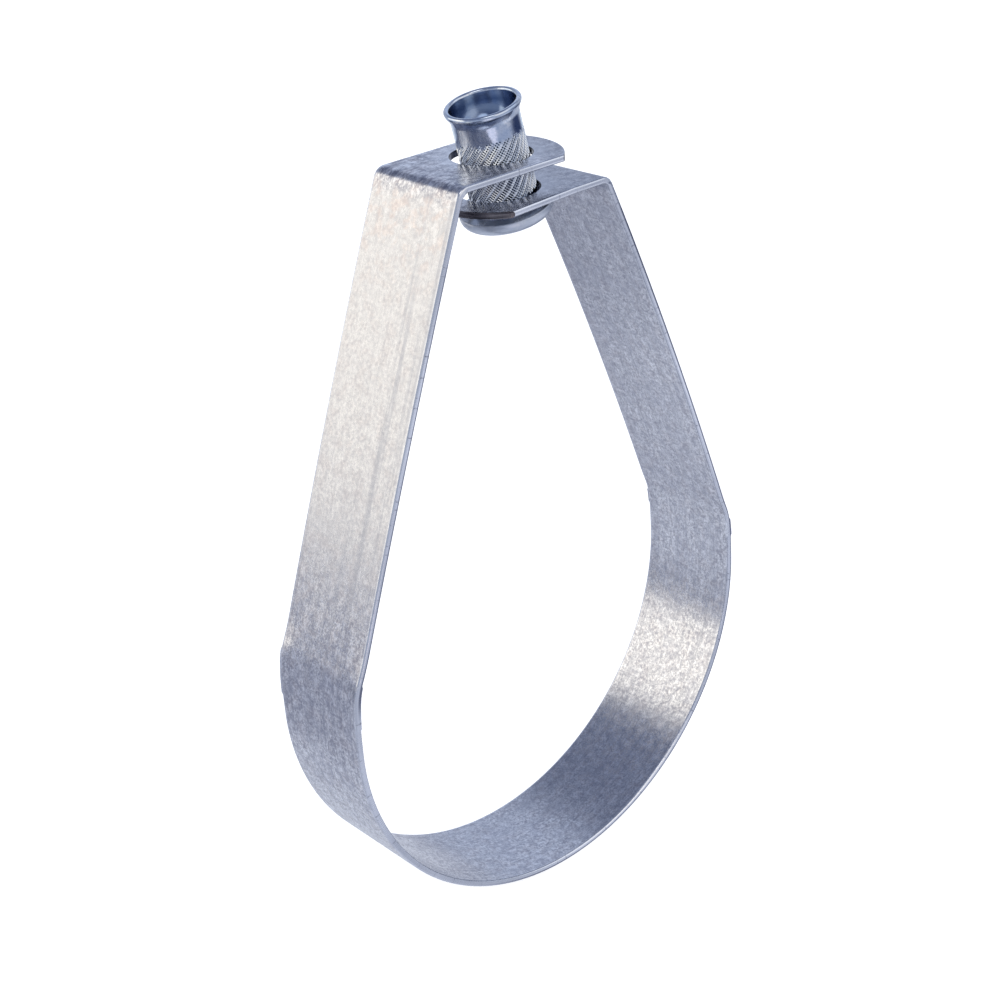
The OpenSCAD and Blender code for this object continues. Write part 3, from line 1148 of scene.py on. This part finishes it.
def mirrored_floor(tree, place):
    """The floor as the metal sees it: pale, with soft lit and shaded patches near it and further off."""
    tone = FLOOR_TONE
    tone = floor_spot(tree, place, tone, x=-0.04, y=0.06, reach=0.07, colour=(0.80, 0.85, 0.97, 1))
    tone = floor_spot(tree, place, tone, x=0.22, y=-0.22, reach=0.12, colour=(0.84, 0.88, 1.0, 1))
    tone = floor_spot(tree, place, tone, x=-0.14, y=0.32, reach=0.11, colour=(0.14, 0.17, 0.24, 1))
    tone = floor_spot(tree, place, tone, x=0.18, y=0.50, reach=0.14, colour=(1.00, 1.05, 1.10, 1))
    tone = floor_spot(tree, place, tone, x=-0.24, y=-0.14, reach=0.075, colour=(0.07, 0.09, 0.14, 1))
    tone = floor_spot(tree, place, tone, x=-0.265, y=0.01, reach=0.05, colour=(1.35, 1.34, 1.12, 1))
    tone = floor_spot(tree, place, tone, x=-0.14, y=-0.30, reach=0.10, colour=(1.30, 1.22, 1.30, 1))
    tone = floor_spot(tree, place, tone, x=0.90, y=-0.30, reach=0.42, colour=(0.05, 0.07, 0.15, 1))
    return floor_spot(tree, place, tone, x=0.85, y=0.42, reach=0.16, colour=(0.90, 1.00, 1.10, 1))


def pale_floor():
    """A pale floor: white to the camera, with the hanger's shadow, and softly uneven in the metal."""
    bpy.ops.object.select_all(action="DESELECT")
    bpy.ops.mesh.primitive_plane_add(size=8, location=(0, 0, FLOOR_Z))
    floor = named(bpy.context.object, "floor")
    bpy.ops.object.transform_apply(location=True)
    material = bpy.data.materials.new("pale_floor")
    material.use_nodes = True
    tree = material.node_tree
    tree.nodes.clear()
    place = node_in(tree, "ShaderNodeTexCoord").outputs["Object"]
    rays = node_in(tree, "ShaderNodeLightPath").outputs
    lit = node_in(tree, "ShaderNodeBsdfDiffuse")
    lit.inputs["Color"].default_value = (0.8, 0.8, 0.8, 1)
    white = node_in(tree, "ShaderNodeEmission")
    white.inputs["Color"].default_value = WHITE
    feed(tree, times(tree, straight_rays(tree, rays), 0.75), white.inputs["Strength"])
    paper = node_in(tree, "ShaderNodeAddShader")
    feed(tree, lit.outputs[0], paper.inputs[0])
    feed(tree, white.outputs[0], paper.inputs[1])
    glow = node_in(tree, "ShaderNodeEmission")
    feed(tree, mirrored_floor(tree, place), glow.inputs["Color"])
    both = node_in(tree, "ShaderNodeMixShader")
    feed(tree, rays["Is Glossy Ray"], both.inputs[0])
    feed(tree, paper.outputs[0], both.inputs[1])
    feed(tree, glow.outputs[0], both.inputs[2])
    out = node_in(tree, "ShaderNodeOutputMaterial")
    feed(tree, both.outputs[0], out.inputs["Surface"])
    floor.data.materials.append(material)


def panel(tree, heading, below, azimuth, height, reach, edge, colour):
    """Lays a soft round panel of light over the studio's walls; its place, reach and soft edge in degrees."""
    aim = node_in(tree, "ShaderNodeVectorMath", operation="DOT_PRODUCT")
    feed(tree, heading, aim.inputs[0])
    aim.inputs[1].default_value = in_direction(azimuth, height)
    share = remap(tree, aim.outputs["Value"], math.cos(math.radians(reach + edge)),
                  math.cos(math.radians(max(reach - edge, 0))))
    return blend_colours(tree, share, below, colour)


def lit_walls(tree, heading):
    """The studio's walls, slate grey high up, with large soft panels to the right, in front and behind."""
    wall = blend_colours(tree, remap(tree, parts_of(tree, heading)[2], 0.25, 0.75), LOW_WALL, HIGH_WALL)
    wall = panel(tree, heading, wall, azimuth=50, height=24, reach=22, edge=14, colour=(0.62, 0.70, 0.88, 1))
    wall = panel(tree, heading, wall, azimuth=170, height=28, reach=24, edge=10, colour=(1.25, 1.22, 1.20, 1))
    wall = panel(tree, heading, wall, azimuth=130, height=40, reach=18, edge=10, colour=(1.0, 1.05, 1.15, 1))
    wall = panel(tree, heading, wall, azimuth=-139, height=58, reach=13, edge=6, colour=(1.9, 1.9, 1.9, 1))
    return panel(tree, heading, wall, azimuth=-47, height=8, reach=30, edge=5, colour=(1.72, 1.65, 1.50, 1))


def studio_world():
    """Walls that light the hanger and show in the metal, and plain white to the camera."""
    world = bpy.data.worlds.new("studio")
    bpy.context.scene.world = world
    world.use_nodes = True
    tree = world.node_tree
    background = tree.nodes["Background"]
    heading = node_in(tree, "ShaderNodeTexCoord").outputs["Generated"]
    seen = straight_rays(tree, node_in(tree, "ShaderNodeLightPath").outputs)
    feed(tree, blend_colours(tree, seen, lit_walls(tree, heading), WHITE), background.inputs["Color"])
    background.inputs["Strength"].default_value = 1


look()
bpy.context.scene.view_settings.view_transform = "Standard"
pale_floor()
studio_world()

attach(nut, "nut")
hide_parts("swivel_nut")
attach(strap, "band")
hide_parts("strap_band")
